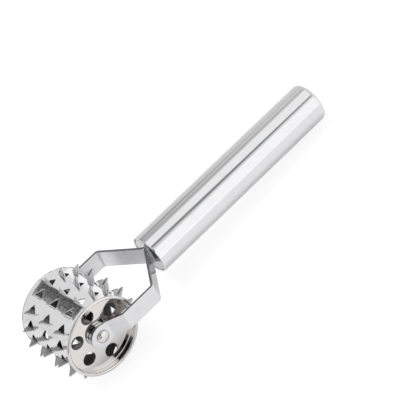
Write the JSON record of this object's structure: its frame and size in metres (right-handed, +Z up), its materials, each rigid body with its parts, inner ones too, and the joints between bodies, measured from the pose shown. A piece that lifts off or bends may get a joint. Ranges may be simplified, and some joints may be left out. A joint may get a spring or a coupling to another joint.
{
  "type": "rolling meat tenderizer",
  "caption": "Hand tool with a toothed steel roller that turns freely in a bent strip fork on a straight tubular handle.",
  "frame": {"origin": "on the table, under the middle of the tool as it lies on two rows of teeth and the tail of its handle", "axes": "+X towards the tail of the handle, +Y along the roller's axle, +Z up"},
  "size_m": [0.2162, 0.0524, 0.0559],
  "materials": {
    "sleeve_steel": "polished stainless sheet, punched",
    "cap_steel": "bright pressed stainless sheet",
    "rivet_steel": "bright stainless wire",
    "fork_steel": "satin stainless strip",
    "handle_steel": "mirror-polished stainless tube"
  },
  "bodies": {
    "frame": {"handle_tube": "handle_steel", "handle_front_plug": "handle_steel", "handle_tail_cap": "handle_steel", "front_fork_arm": "fork_steel", "rear_fork_arm": "fork_steel", "tang_rivets": "rivet_steel", "axle_tube": "rivet_steel", "axle_rivet": "rivet_steel", "front_thrust_washer": "rivet_steel", "rear_thrust_washer": "rivet_steel"},
    "roller": {"toothed_sleeve": "sleeve_steel", "front_end_cap": "cap_steel", "rear_end_cap": "cap_steel"}
  },
  "joints": [
    {"name": "roller_spin", "type": "hinge", "parent": "frame", "child": "roller", "pos_m": [-0.07986, 0, 0.02774], "axis": [0, 1, 0], "continuous": true}
  ]
}
